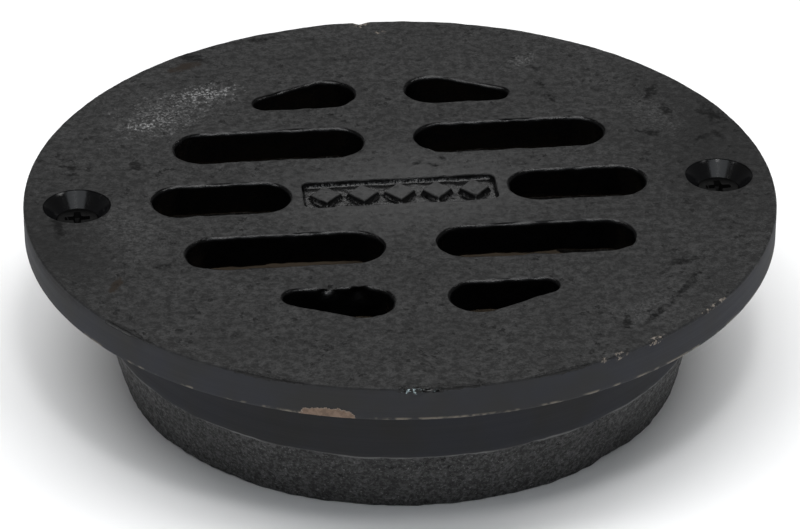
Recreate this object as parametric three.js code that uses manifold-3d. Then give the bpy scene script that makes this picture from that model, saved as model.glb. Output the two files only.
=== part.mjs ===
// A round floor drain grate. A slotted cast iron grate lies on a cast iron collar and is held by two
// countersunk screws. The collar's lower part drops into the hub of a drain pipe.
// Millimetres, +Z up. The origin is the centre of the collar's bottom ring. +X runs along the slots,
// through both screws, and +Y across them.

import * as THREE from "three";
import { mergeVertices } from "three/addons/utils/BufferGeometryUtils.js";
import Module from "manifold-3d";

const wasm = await Module();
wasm.setup();

// ---- Driving dimensions ----

// Collar
const SPIGOT_DIAMETER = 113.6; // turned outside, which slides into a 4 in pipe hub
const SPIGOT_WALL = 6; // from the turned outside to the bore
const COLLAR_HEIGHT = 29.6; // from the bottom ring to the seat under the grate
const FLANGE_THICKNESS = 6; // stop that rests on the pipe hub
const FLANGE_OVERHANG = 3; // flange beyond the spigot
const SKIRT_HEIGHT = 12.6; // rough cast part below the turned band
const SKIRT_STEP = 0.2; // cut left by turning, between band and skirt
const SKIRT_TAPER = 3.1; // how far the skirt leans in by its bottom
const SKIRT_BEVEL = 0.6;
const EAR_WALL = 3.1; // metal around each tapped hole

// Grate
const GRATE_OVERHANG = 14.2; // grate beyond the spigot
const GRATE_THICKNESS = 6.6;
const GRATE_BEVEL = 0.6;
const SLOT_WIDTH = 12.2;
const SLOT_BAR = 8.1; // metal between two rows of slots
const CENTRE_BAR = 9.5; // metal between the left and right slots of a row
const SLOT_RIM = 3.5; // from the circle that holds every slot to the collar's bore
const SLOT_TIP_RADIUS = 3; // narrow end of a tapered slot
const SLOT_TIP_INSET = 0.6; // from that end to the circle that holds every slot
const LIP_DEPTH = 2; // ring under the grate that centres it in the bore
const LIP_CLEARANCE = 0.4; // lip to bore
const LIP_SETBACK = 0.7; // lip to the circle that holds every slot

// Sunk panel between the two middle slots, with raised lozenges
const PANEL_LENGTH = 36.5;
const PANEL_WIDTH = 9.6;
const PANEL_CORNER = 1.5;
const PANEL_DEPTH = 1.1;
const PANEL_END_BAR = 2.2; // metal from the panel to the slot beside it
const LOZENGE_COUNT = 5;
const LOZENGE_GAP = 1.3; // between lozenges, and from the outer ones to the panel's ends
const LOZENGE_EDGE_GAP = 1.5; // from a lozenge's points to the panel's long sides

// Screws
const SCREW_RIM_DISTANCE = 10.05; // from a screw's axis to the grate's rim
const THREAD_DIAMETER = 4.2;
const THREAD_CLEARANCE = 0.3; // screw to the holes around it
const TIP_SETBACK = 0.5; // screw's tip above the flange's underside
const TIP_BEVEL = 0.5;
const HEAD_DIAMETER = 7.3;
const HEAD_EDGE = 0.25; // short cylinder at the head's rim
const HEAD_CLEARANCE = 0.2; // head to countersink, measured across the axis
const COUNTERSINK_DIAMETER = 12.6;
const COUNTERSINK_ANGLE = 82; // degrees, the whole cone
const RECESS_LENGTH = 4.4; // each bar of the cross in the head
const RECESS_WIDTH = 1.1;
const RECESS_DEPTH = 1.5;

// Fineness
const RING_SEGMENTS = 96;
const HOLE_SEGMENTS = 32;
const SLOT_END_SEGMENTS = 12;
const CUT_OVERRUN = 1; // how far a cutter runs past the faces it cuts

// ---- Sizes that follow ----

const spigotRadius = SPIGOT_DIAMETER / 2;
const boreRadius = spigotRadius - SPIGOT_WALL;
const grateRadius = spigotRadius + GRATE_OVERHANG;
const slotFieldRadius = boreRadius - SLOT_RIM;
const rowPitch = SLOT_WIDTH + SLOT_BAR;
const screwCircleRadius = grateRadius - SCREW_RIM_DISTANCE;
const threadRadius = THREAD_DIAMETER / 2;
const screwHoleRadius = threadRadius + THREAD_CLEARANCE;
const headRadius = HEAD_DIAMETER / 2;
const countersinkSlope = Math.tan(THREE.MathUtils.degToRad(COUNTERSINK_ANGLE / 2));
const headSink = (COUNTERSINK_DIAMETER / 2 - headRadius - HEAD_CLEARANCE) / countersinkSlope - HEAD_EDGE;
const screwLength = GRATE_THICKNESS - headSink + FLANGE_THICKNESS - TIP_SETBACK;

// ---- Solids ----

function solidOf(geometry) {
  const bare = geometry.index ? geometry.toNonIndexed() : geometry.clone();
  bare.deleteAttribute("normal");
  bare.deleteAttribute("uv");
  const merged = mergeVertices(bare, 1e-4);
  return new wasm.Manifold(
    new wasm.Mesh({
      numProp: 3,
      vertProperties: merged.attributes.position.array,
      triVerts: new Uint32Array(merged.index.array),
    }),
  );
}

function meshOf(name, solid, material) {
  const { vertProperties, triVerts } = solid.getMesh();
  const geometry = new THREE.BufferGeometry()
    .setAttribute("position", new THREE.BufferAttribute(vertProperties, 3))
    .setIndex(new THREE.BufferAttribute(triVerts, 1));
  const flat = geometry.toNonIndexed();
  flat.computeVertexNormals();
  const mesh = new THREE.Mesh(flat, material);
  mesh.name = name;
  return mesh;
}

// A body of revolution about Z, from [radius, height] points that run anticlockwise.
function turned(profile, segments, x = 0) {
  const points = profile.map(([radius, height]) => new THREE.Vector2(radius, height));
  const geometry = new THREE.LatheGeometry(points, segments);
  return solidOf(geometry.rotateX(Math.PI / 2).translate(x, 0, 0));
}

// An outline in XY, raised from one height to another.
function prism(shape, from, to, curveSegments = SLOT_END_SEGMENTS) {
  const geometry = new THREE.ExtrudeGeometry(shape, {
    depth: to - from,
    bevelEnabled: false,
    curveSegments,
  });
  return solidOf(geometry.translate(0, 0, from));
}

// The outline around two circles {x, y, r}, the first one to the left, with the straight lines that
// touch both.
function outlineAround(left, right) {
  const along = Math.atan2(right.y - left.y, right.x - left.x);
  const apart = Math.hypot(right.x - left.x, right.y - left.y);
  const lean = Math.acos((left.r - right.r) / apart);
  const shape = new THREE.Shape();
  shape.absarc(left.x, left.y, left.r, along + lean, along + 2 * Math.PI - lean, false);
  shape.absarc(right.x, right.y, right.r, along - lean, along + lean, false);
  shape.closePath();
  return shape;
}

function roundedRectangle(length, width, corner) {
  const [x, y] = [length / 2 - corner, width / 2 - corner];
  const shape = new THREE.Shape();
  shape.absarc(x, y, corner, 0, Math.PI / 2, false);
  shape.absarc(-x, y, corner, Math.PI / 2, Math.PI, false);
  shape.absarc(-x, -y, corner, Math.PI, 1.5 * Math.PI, false);
  shape.absarc(x, -y, corner, 1.5 * Math.PI, 2 * Math.PI, false);
  shape.closePath();
  return shape;
}

function rectangle(x0, y0, x1, y1) {
  return new THREE.Shape([
    new THREE.Vector2(x0, y0),
    new THREE.Vector2(x1, y0),
    new THREE.Vector2(x1, y1),
    new THREE.Vector2(x0, y1),
  ]);
}

// ---- Slots ----

// A straight slot with round ends, in the right half of the row at height y. Its outer end touches the
// circle that holds every slot.
function straightSlot(innerEnd, y) {
  const r = SLOT_WIDTH / 2;
  const outerCentre = Math.sqrt((slotFieldRadius - r) ** 2 - y ** 2);
  return { inner: { x: innerEnd + r, y, r }, outer: { x: outerCentre, y, r } };
}

// A tapered slot, whose inner edge is straight. Its round inner end touches that edge, the centre bar
// and the circle that holds every slot, and its narrow tip touches the edge and stays inside the circle.
function taperedSlot(innerEnd, edge) {
  const half = innerEnd + edge + slotFieldRadius;
  const r = -half + Math.sqrt(half ** 2 + slotFieldRadius ** 2 - innerEnd ** 2 - edge ** 2);
  const tip = { y: edge + SLOT_TIP_RADIUS, r: SLOT_TIP_RADIUS };
  tip.x = Math.sqrt((slotFieldRadius - SLOT_TIP_INSET - tip.r) ** 2 - tip.y ** 2);
  return { inner: { x: innerEnd + r, y: edge + r, r }, outer: tip };
}

// Every slot's two end circles: the middle row beside the panel, full rows while one fits in the
// circle that holds them, then a tapered row in what is left of it.
function slotEnds() {
  const slots = [straightSlot(PANEL_LENGTH / 2 + PANEL_END_BAR, 0)];
  let y = rowPitch;
  const fullRowLimit = slotFieldRadius - 1.5 * SLOT_WIDTH;
  for (; y < fullRowLimit; y += rowPitch) {
    slots.push(straightSlot(CENTRE_BAR / 2, y));
  }
  const edge = y - SLOT_WIDTH / 2;
  if (edge + 3 * SLOT_TIP_RADIUS < slotFieldRadius) slots.push(taperedSlot(CENTRE_BAR / 2, edge));
  return slots;
}

function mirrored(circle, sideX, sideY) {
  return { x: circle.x * sideX, y: circle.y * sideY, r: circle.r };
}

function slotCutters() {
  const cutters = [];
  for (const { inner, outer } of slotEnds()) {
    const sidesY = inner.y > 0 ? [1, -1] : [1];
    for (const sideY of sidesY) {
      for (const sideX of [1, -1]) {
        const ends = [mirrored(inner, sideX, sideY), mirrored(outer, sideX, sideY)];
        ends.sort((a, b) => a.x - b.x);
        const outline = outlineAround(...ends);
        cutters.push(prism(outline, -LIP_DEPTH - CUT_OVERRUN, GRATE_THICKNESS + CUT_OVERRUN));
      }
    }
  }
  return cutters;
}

// ---- Sub-parts ----

// The grate, with its underside at height 0.
function grateSolid() {
  const top = GRATE_THICKNESS;
  const lipOuter = boreRadius - LIP_CLEARANCE;
  const lipInner = slotFieldRadius + LIP_SETBACK;
  let solid = turned(
    [
      [0, 0],
      [lipInner, 0],
      [lipInner, -LIP_DEPTH],
      [lipOuter, -LIP_DEPTH],
      [lipOuter, 0],
      [grateRadius - GRATE_BEVEL, 0],
      [grateRadius, GRATE_BEVEL],
      [grateRadius, top - GRATE_BEVEL],
      [grateRadius - GRATE_BEVEL, top],
      [0, top],
    ],
    RING_SEGMENTS,
  );
  for (const cutter of slotCutters()) solid = solid.subtract(cutter);
  for (const side of [1, -1]) solid = solid.subtract(screwSeat(side));
  return solid.subtract(panelRecess());
}

// A screw's countersink and clearance hole through the grate.
function screwSeat(side) {
  const top = GRATE_THICKNESS;
  const mouth = COUNTERSINK_DIAMETER / 2;
  const coneDepth = (mouth - screwHoleRadius) / countersinkSlope;
  return turned(
    [
      [0, -CUT_OVERRUN],
      [screwHoleRadius, -CUT_OVERRUN],
      [screwHoleRadius, top - coneDepth],
      [mouth, top],
      [mouth, top + CUT_OVERRUN],
      [0, top + CUT_OVERRUN],
    ],
    HOLE_SEGMENTS,
    side * screwCircleRadius,
  );
}

// What is cut away for the panel: a shallow pocket that leaves the lozenges standing.
function panelRecess() {
  const floor = GRATE_THICKNESS - PANEL_DEPTH;
  const above = GRATE_THICKNESS + CUT_OVERRUN;
  const pitch = (PANEL_LENGTH - LOZENGE_GAP) / LOZENGE_COUNT;
  const halfLength = (pitch - LOZENGE_GAP) / 2;
  const halfWidth = PANEL_WIDTH / 2 - LOZENGE_EDGE_GAP;
  let recess = prism(roundedRectangle(PANEL_LENGTH, PANEL_WIDTH, PANEL_CORNER), floor, above, 4);
  for (let i = 0; i < LOZENGE_COUNT; i += 1) {
    const x = (i - (LOZENGE_COUNT - 1) / 2) * pitch;
    const lozenge = new THREE.Shape([
      new THREE.Vector2(x - halfLength, 0),
      new THREE.Vector2(x, -halfWidth),
      new THREE.Vector2(x + halfLength, 0),
      new THREE.Vector2(x, halfWidth),
    ]);
    recess = recess.subtract(prism(lozenge, floor - CUT_OVERRUN, above + CUT_OVERRUN));
  }
  return recess;
}

// The collar, with its bottom ring at height 0.
function collarSolid() {
  const flangeRadius = spigotRadius + FLANGE_OVERHANG;
  const flangeBottom = COLLAR_HEIGHT - FLANGE_THICKNESS;
  const skirtTop = spigotRadius - SKIRT_STEP;
  const skirtBottom = skirtTop - SKIRT_TAPER;
  let solid = turned(
    [
      [boreRadius, 0],
      [skirtBottom - SKIRT_BEVEL, 0],
      [skirtBottom, SKIRT_BEVEL],
      [skirtTop, SKIRT_HEIGHT],
      [spigotRadius, SKIRT_HEIGHT],
      [spigotRadius, flangeBottom],
      [flangeRadius, flangeBottom],
      [flangeRadius, COLLAR_HEIGHT],
      [boreRadius, COLLAR_HEIGHT],
      [boreRadius, 0],
    ],
    RING_SEGMENTS,
  );
  for (const side of [1, -1]) solid = solid.add(ear(side, flangeBottom));
  for (const side of [1, -1]) solid = solid.subtract(earHole(side, flangeBottom));
  return solid;
}

// A flat ear of the flange that reaches out under a screw.
function ear(side, bottom) {
  const r = threadRadius + EAR_WALL;
  const root = (boreRadius + spigotRadius) / 2;
  const bar = prism(rectangle(root, -r, screwCircleRadius, r), bottom, COLLAR_HEIGHT);
  const end = new THREE.CylinderGeometry(r, r, FLANGE_THICKNESS, HOLE_SEGMENTS)
    .rotateX(Math.PI / 2)
    .translate(screwCircleRadius, 0, bottom + FLANGE_THICKNESS / 2);
  const whole = bar.add(solidOf(end));
  return side > 0 ? whole : whole.rotate([0, 0, 180]);
}

function earHole(side, bottom) {
  return turned(
    [
      [0, bottom - CUT_OVERRUN],
      [screwHoleRadius, bottom - CUT_OVERRUN],
      [screwHoleRadius, COLLAR_HEIGHT + CUT_OVERRUN],
      [0, COLLAR_HEIGHT + CUT_OVERRUN],
    ],
    HOLE_SEGMENTS,
    side * screwCircleRadius,
  );
}

// A flat head screw with a cross recess, with the top of its head at height 0.
function screwSolid() {
  const coneBottom = -HEAD_EDGE - (headRadius - threadRadius) / countersinkSlope;
  let solid = turned(
    [
      [0, -screwLength],
      [threadRadius - TIP_BEVEL, -screwLength],
      [threadRadius, -screwLength + TIP_BEVEL],
      [threadRadius, coneBottom],
      [headRadius, -HEAD_EDGE],
      [headRadius, 0],
      [0, 0],
    ],
    HOLE_SEGMENTS,
  );
  const [half, thin] = [RECESS_LENGTH / 2, RECESS_WIDTH / 2];
  for (const [x, y] of [[half, thin], [thin, half]]) {
    solid = solid.subtract(prism(rectangle(-x, -y, x, y), -RECESS_DEPTH, CUT_OVERRUN));
  }
  return solid;
}

// ---- Materials ----

const paintedIron = new THREE.MeshStandardMaterial({ color: 0x2b2b2b, roughness: 0.55, metalness: 0.2 });
const turnedIron = new THREE.MeshStandardMaterial({ color: 0x252629, roughness: 0.4, metalness: 0.3 });
const blackSteel = new THREE.MeshStandardMaterial({ color: 0x121214, roughness: 0.3, metalness: 0.8 });

// ---- Assembly ----

const drain = new THREE.Group();
drain.add(meshOf("collar", collarSolid(), turnedIron));

const cover = new THREE.Group();
cover.position.z = COLLAR_HEIGHT;
cover.add(meshOf("grate", grateSolid(), paintedIron));
for (const [name, side] of [["screw_left", -1], ["screw_right", 1]]) {
  const screw = meshOf(name, screwSolid(), blackSteel);
  screw.position.set(side * screwCircleRadius, 0, GRATE_THICKNESS - headSink);
  cover.add(screw);
}
drain.add(cover);

export default drain;
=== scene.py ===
"""The floor drain grate's looks: detailed castings and screws on the CAD frame, in a plain studio."""

import math

import bmesh
import bpy
import numpy as np
from mathutils import Matrix, Vector, noise
from mathutils.geometry import delaunay_2d_cdt


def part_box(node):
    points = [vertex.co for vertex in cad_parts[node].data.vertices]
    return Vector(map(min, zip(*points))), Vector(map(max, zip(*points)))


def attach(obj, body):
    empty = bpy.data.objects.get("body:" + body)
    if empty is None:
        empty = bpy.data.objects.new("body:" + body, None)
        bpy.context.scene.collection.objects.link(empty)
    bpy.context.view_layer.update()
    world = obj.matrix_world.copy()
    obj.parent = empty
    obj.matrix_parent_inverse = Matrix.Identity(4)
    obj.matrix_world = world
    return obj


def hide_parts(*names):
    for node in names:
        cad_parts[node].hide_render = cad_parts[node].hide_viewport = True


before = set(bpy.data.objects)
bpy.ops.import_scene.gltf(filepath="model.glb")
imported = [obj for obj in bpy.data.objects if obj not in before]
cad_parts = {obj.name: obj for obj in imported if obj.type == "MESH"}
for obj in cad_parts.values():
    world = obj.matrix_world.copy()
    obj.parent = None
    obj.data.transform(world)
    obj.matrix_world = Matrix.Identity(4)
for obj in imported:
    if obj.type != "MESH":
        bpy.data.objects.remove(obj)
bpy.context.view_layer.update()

# ---- Sizes, in millimetres. Where the frame holds a size, it is read from there. ----

METRE = 1000.0

grate_low, grate_high = (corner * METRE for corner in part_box("grate"))
collar_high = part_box("collar")[1] * METRE
screw_low, screw_high = (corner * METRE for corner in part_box("screw_right"))

RIM_RADIUS = grate_high.x
TOP = grate_high.z
SEAT = collar_high.z
LIP_BOTTOM = grate_low.z
FLANGE_RADIUS = collar_high.y
SCREW_X = (screw_low.x + screw_high.x) / 2
HEAD_TOP = screw_high.z
SCREW_TIP = screw_low.z
EAR_RADIUS = collar_high.x - SCREW_X

# Slots
SLOT_RADIUS = 6.1
ROW_PITCH = 20.3
CENTRE_BAR_HALF = 4.75
FIELD_RADIUS = 47.3
TIP_RADIUS = 3.0
TIP_INSET = 0.6
SLOT_EDGE = 0.8
SLOT_MOUTH = 0.33  # from the slot's outline out to where its upper edge starts to round
SLOT_FOOT_OFFSET = -0.3  # from the slot's outline to its wall at the underside
SLOT_FOOT_EDGE = 0.5

# Panel between the middle slots
PANEL_HALF = (18.25, 4.8)
PANEL_CORNER = 1.5
PANEL_DEPTH = 1.1
PANEL_SLOT_GAP = 2.2
PANEL_WALL = 0.5
LOZENGE_COUNT = 5
LOZENGE_PITCH = 7.04
LOZENGE_HALF = (2.87, 3.3)

# Rim, lip and screw seats
RIM_EDGE = 0.55
LIP_OUTER = 50.4
LIP_INNER = 48.0
LIP_EDGE = 0.3
MOUTH_RADIUS = 6.3
MOUTH_EDGE = 0.12
SEAT_SLOPE = math.tan(math.radians(41))
SHANK_HOLE_RADIUS = 2.3

# Collar
BORE_RADIUS = 50.8
SPIGOT_RADIUS = 56.8
SKIRT_TOP = 12.6
SKIRT_STEP = 0.2
SKIRT_FOOT_RADIUS = 53.5
FLANGE_BOTTOM = 23.6
BORE_EDGE = 0.4
FOOT_EDGE = 0.7
FLANGE_EDGE = 0.5

# Screws
THREAD_RADIUS = 2.1
THREAD_DEPTH = 0.42
THREAD_PITCH = 0.79375
HEAD_GAP = 0.06
HEAD_EDGE = 0.2
HEAD_ROUNDING = 0.15
TIP_CHAMFER = 0.4
SCREW_TIP_RADIUS = THREAD_RADIUS - THREAD_DEPTH - 0.25
CROSS_LENGTH = 2.3
CROSS_WIDTH = 0.62
CROSS_CORNER = 0.5
CROSS_DEPTH = 1.5
CROSS_FLOOR_SHARE = 0.45

# How far cast lumps may rise over a casting's highest face
TOP_GRAIN = 0.15

# How far above and below the border of the turned band the painted highlight along it fades out
BORDER_REACH = 0.6

# Sides of the triangles, on the face and on what is hidden
GRAIN = 0.62
COARSE = 1.6

rng = np.random.default_rng(7)

# Dents in the grate: (centre, radius, depth)
GRATE_DENTS = [
    ((-4.2, -70.8, TOP), 3.4, 0.6),
    ((-1.6, -71.0, TOP - 0.4), 2.2, 0.5),
    ((4.6, -71.0, TOP), 1.4, 0.30),
    ((30.5, -64.0, TOP), 1.6, 0.35),
    ((38.5, -59.4, TOP), 1.8, 0.30),
    ((-51.5, -48.6, TOP), 2.2, 0.30),
    ((-1.0, 69.8, TOP), 2.0, 0.45),
    ((39.6, -23.0, TOP - 1.0), 2.6, 0.9),
    ((-16.5, -34.5, TOP - 0.8), 2.2, 0.8),
    ((-11.0, -35.0, TOP - 1.2), 1.8, 0.7),
    ((-27.0, -38.2, TOP - 0.8), 1.8, -0.7),
    ((4.6, 10.4, TOP), 0.9, 0.2),
    ((7.6, 9.4, TOP), 1.0, 0.2),
    ((30.2, 50.4, TOP), 2.0, 0.3),
]

# Dents in the collar, in the same form
COLLAR_DENTS = [
    ((37, -42, 4), 9, 0.45),
    ((30, -46, 8), 4, 0.25),
    ((-44, -36, 3), 3, 0.25),
]

# Marks on the grate: (centre, half sizes along it, across it and upward, degrees it is turned by)
CHIP_TURN = math.radians(-106.1)
CHIP_PLACE = (RIM_RADIUS * math.cos(CHIP_TURN), RIM_RADIUS * math.sin(CHIP_TURN), SEAT + 0.2)
GRATE_MARKS = {
    "scuff": [
        ((-43.0, 34.5, TOP), (15, 10, 3), 42),
    ],
    "bright_scuff": [
        ((-34.5, 42.5, TOP), (8, 4.5, 3), 8),
        ((-46.5, 31.0, TOP), (5, 2.5, 3), 30),
    ],
    "wear": [
        ((29.5, 50.5, TOP), (3.6, 2.2, 3), 30),
    ],
    "faint_wear": [
        ((40, -48, TOP), (13, 6, 3), 45),
        ((52, 26, TOP), (7, 12, 3), 10),
        ((-52, -10, TOP), (7, 14, 3), 15),
    ],
    # painted shade: broad darker patches over the right and left of the face
    "painted_shade_patch": [
        ((62, 14, TOP), (24, 50, 3), 0),
        ((-66, -14, TOP), (16, 34, 3), 12),
    ],
    # painted light: a broad lighter patch over the middle of the face
    "painted_light_patch": [
        ((2, 0, TOP), (38, 24, 3), 8),
    ],
    "smudge": [
        ((60.5, 15.5, TOP), (3.0, 1.0, 3), 35),
        ((53, 35, TOP), (2.0, 3.6, 3), -20),
        ((55, 27, TOP), (1.2, 4.0, 3), 5),
        ((50.5, 18, TOP), (3.0, 1.6, 3), -20),
        ((63.5, 24, TOP), (2.6, 5.0, 3), 20),
        ((63.5, 16, TOP), (1.0, 3.0, 3), 15),
        ((-49.2, 14.5, TOP), (2.0, 3.0, 3), 10),
        ((-61.5, 15.2, TOP), (2.6, 0.9, 3), -20),
        ((-61.8, 12.4, TOP), (2.2, 0.8, 3), -20),
        ((32.0, 40.0, TOP), (0.9, 3.4, 3), 12),
        ((33.2, 34.4, TOP), (0.8, 2.8, 3), 8),
        ((31.5, 47.0, TOP), (2.0, 1.0, 3), -40),
        ((48, -41, TOP), (0.9, 9.5, 3), -33),
        ((41.5, -49.5, TOP), (5.5, 1.0, 3), 52),
        ((49, -31.5, TOP), (4.0, 1.6, 3), 15),
        ((35.5, -52, TOP), (1.2, 3.5, 3), -15),
        ((-36, 58.5, TOP), (4.6, 2.4, 3), -35),
        ((-22, 65, TOP), (6, 1.2, 3), 12),
        ((-45.5, -24, TOP), (2.6, 1.0, 3), 10),
        ((-10.3, 31.6, TOP), (1.2, 0.7, 3), 0),
        ((-64.5, -8, TOP), (1.6, 6.0, 3), 5),
        ((4.6, 10.6, TOP), (1.6, 0.8, 3), 35),
        ((7.6, 9.4, TOP), (2.0, 0.8, 3), -25),
        ((9.4, 11.8, TOP), (0.8, 1.7, 3), 15),
    ],
    "stain": [
        ((-37.5, 54.5, TOP), (4.5, 1.8, 3), 25),
        ((-54.8, -30, TOP), (1.2, 3.4, 3), -18),
    ],
    # pale chipped crumbs along the rim's upper edge, lightened as painted glints
    "crumbs_and_glints": [
        ((31.5, -63.6, TOP), (3.5, 1.0, 1.2), 26),
        ((39.5, -58.9, TOP), (3.0, 1.0, 1.2), 34),
        ((-1.3, 69.9, TOP), (2.4, 1.3, 3), 0),
        ((2.6, 65.6, TOP), (1.2, 0.8, 3), 0),
        ((52, -48, TOP), (6, 0.5, 0.6), 47),
    ],
    # painted shade: near-black thin lines in shallow grooves along the front of the rim's upper edge
    "gap": [
        ((-30, -64.3, TOP), (9, 0.9, 0.7), -25),
        ((2, -70.9, TOP), (9, 0.9, 0.7), 2),
        ((22, -67.5, TOP), (8, 0.9, 0.7), 18),
        ((-53.5, -46.5, TOP), (8, 1.0, 0.8), -49),
    ],
    "glossy_chip": [((-3.0, -70.6, TOP - 0.3), (5.4, 1.8, 1.1), -3)],
    # bare iron in the front chip, lightened to a bluish-white painted glint
    "bare_chip_and_glint": [((-3.8, -70.9, TOP - 0.7), (3.6, 1.0, 0.8), -3)],
    "primer_chip": [(CHIP_PLACE, (5.4, 2.5, 1.9), math.degrees(CHIP_TURN) + 90)],
}


# ---- Outlines and distances, in plan ----


class Circle:
    """A round outline."""

    def __init__(self, x, radius, step):
        self.x = x
        self.radius = radius
        self.count = int(2 * math.pi * radius / step)

    def loop(self, offset=0.0):
        turn = np.linspace(0, 2 * math.pi, self.count, endpoint=False)
        radius = self.radius + offset
        return np.stack([self.x + radius * np.cos(turn), radius * np.sin(turn)], axis=1)

    def distance(self, points):
        """How far each point lies outside the outline."""
        return np.hypot(points[:, 0] - self.x, points[:, 1]) - self.radius


class Slot:
    """The outline around two circles, (x, y, radius) each, with the lines that touch both."""

    def __init__(self, first, second, step):
        self.ends = sorted([first, second])
        (x0, y0, r0), (x1, y1, r1) = self.ends
        self.apart = math.hypot(x1 - x0, y1 - y0)
        self.along = math.atan2(y1 - y0, x1 - x0)
        self.lean = math.acos((r0 - r1) / self.apart)
        self.arc_counts = [
            int(2 * (math.pi - self.lean) * r0 / step),
            int(2 * self.lean * r1 / step),
        ]
        self.line_count = int(self.apart * math.sin(self.lean) / step)

    def loop(self, offset=0.0):
        (x0, y0, r0), (x1, y1, r1) = self.ends
        start, lean = self.along, self.lean
        arcs = []
        for x, y, r, a, b, count in (
            (x0, y0, r0, start + lean, start + 2 * math.pi - lean, self.arc_counts[0]),
            (x1, y1, r1, start - lean, start + lean, self.arc_counts[1]),
        ):
            turn = np.linspace(a, b, count + 1)
            reach = r + offset
            arcs.append(np.stack([x + reach * np.cos(turn), y + reach * np.sin(turn)], axis=1))
        share = np.linspace(0, 1, self.line_count + 1)[1:-1, None]
        lower = arcs[0][-1] + (arcs[1][0] - arcs[0][-1]) * share
        upper = arcs[1][-1] + (arcs[0][0] - arcs[1][-1]) * share
        return np.concatenate([arcs[0], lower, arcs[1], upper])

    def distance(self, points):
        """How far each point lies outside the outline."""
        (x0, y0, r0), (x1, y1, r1) = self.ends
        axis = np.array([math.cos(self.along), math.sin(self.along)])
        local = points - np.array([x0, y0])
        along = local @ axis
        across = np.abs(local[:, 0] * axis[1] - local[:, 1] * axis[0])
        drop = (r0 - r1) / self.apart
        reach = math.sqrt(1 - drop * drop)
        near_first = np.hypot(along, across) - r0
        near_second = np.hypot(along - self.apart, across) - r1
        beside = across * reach + along * drop - r0
        shifted = along * reach - across * drop
        side_length = self.apart * reach
        outside = np.where(shifted < 0, near_first, beside)
        return np.where(shifted > side_length, near_second, outside)


def rounded_rectangle_distance(points, half, corner):
    over = np.abs(points) - np.array(half) + corner
    return np.hypot(*np.maximum(over, 0).T) + np.minimum(over.max(axis=1), 0) - corner


def lozenge_distance(points, x, half):
    a, b = half
    away = np.abs(points - np.array([x, 0]))
    return (away[:, 0] * b + away[:, 1] * a - a * b) / math.hypot(a, b)


def smooth_step(value):
    t = np.clip(value, 0, 1)
    return t * t * (3 - 2 * t)


def slot_outlines():
    """The ten slots: two beside the panel, four long ones and four tapered ones."""
    r = SLOT_RADIUS
    inner = CENTRE_BAR_HALF + r
    middle_inner = PANEL_HALF[0] + PANEL_SLOT_GAP + r
    long_outer = math.sqrt((FIELD_RADIUS - r) ** 2 - ROW_PITCH**2)
    edge = 2 * ROW_PITCH - r
    half = CENTRE_BAR_HALF + edge + FIELD_RADIUS
    lobe = -half + math.sqrt(half**2 + FIELD_RADIUS**2 - CENTRE_BAR_HALF**2 - edge**2)
    tip_x = math.sqrt((FIELD_RADIUS - TIP_INSET - TIP_RADIUS) ** 2 - (edge + TIP_RADIUS) ** 2)
    pairs = [((middle_inner, 0, r), (FIELD_RADIUS - r, 0, r), (1,))]
    pairs += [((inner, ROW_PITCH, r), (long_outer, ROW_PITCH, r), (1, -1))]
    lobe_end = (CENTRE_BAR_HALF + lobe, edge + lobe, lobe)
    pairs += [(lobe_end, (tip_x, edge + TIP_RADIUS, TIP_RADIUS), (1, -1))]
    slots = []
    for first, second, sides in pairs:
        for up in sides:
            for side in (1, -1):
                ends = [(x * side, y * up, radius) for x, y, radius in (first, second)]
                slots.append(Slot(*ends, GRAIN))
    return slots


# ---- Building closed bodies ----


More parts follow.
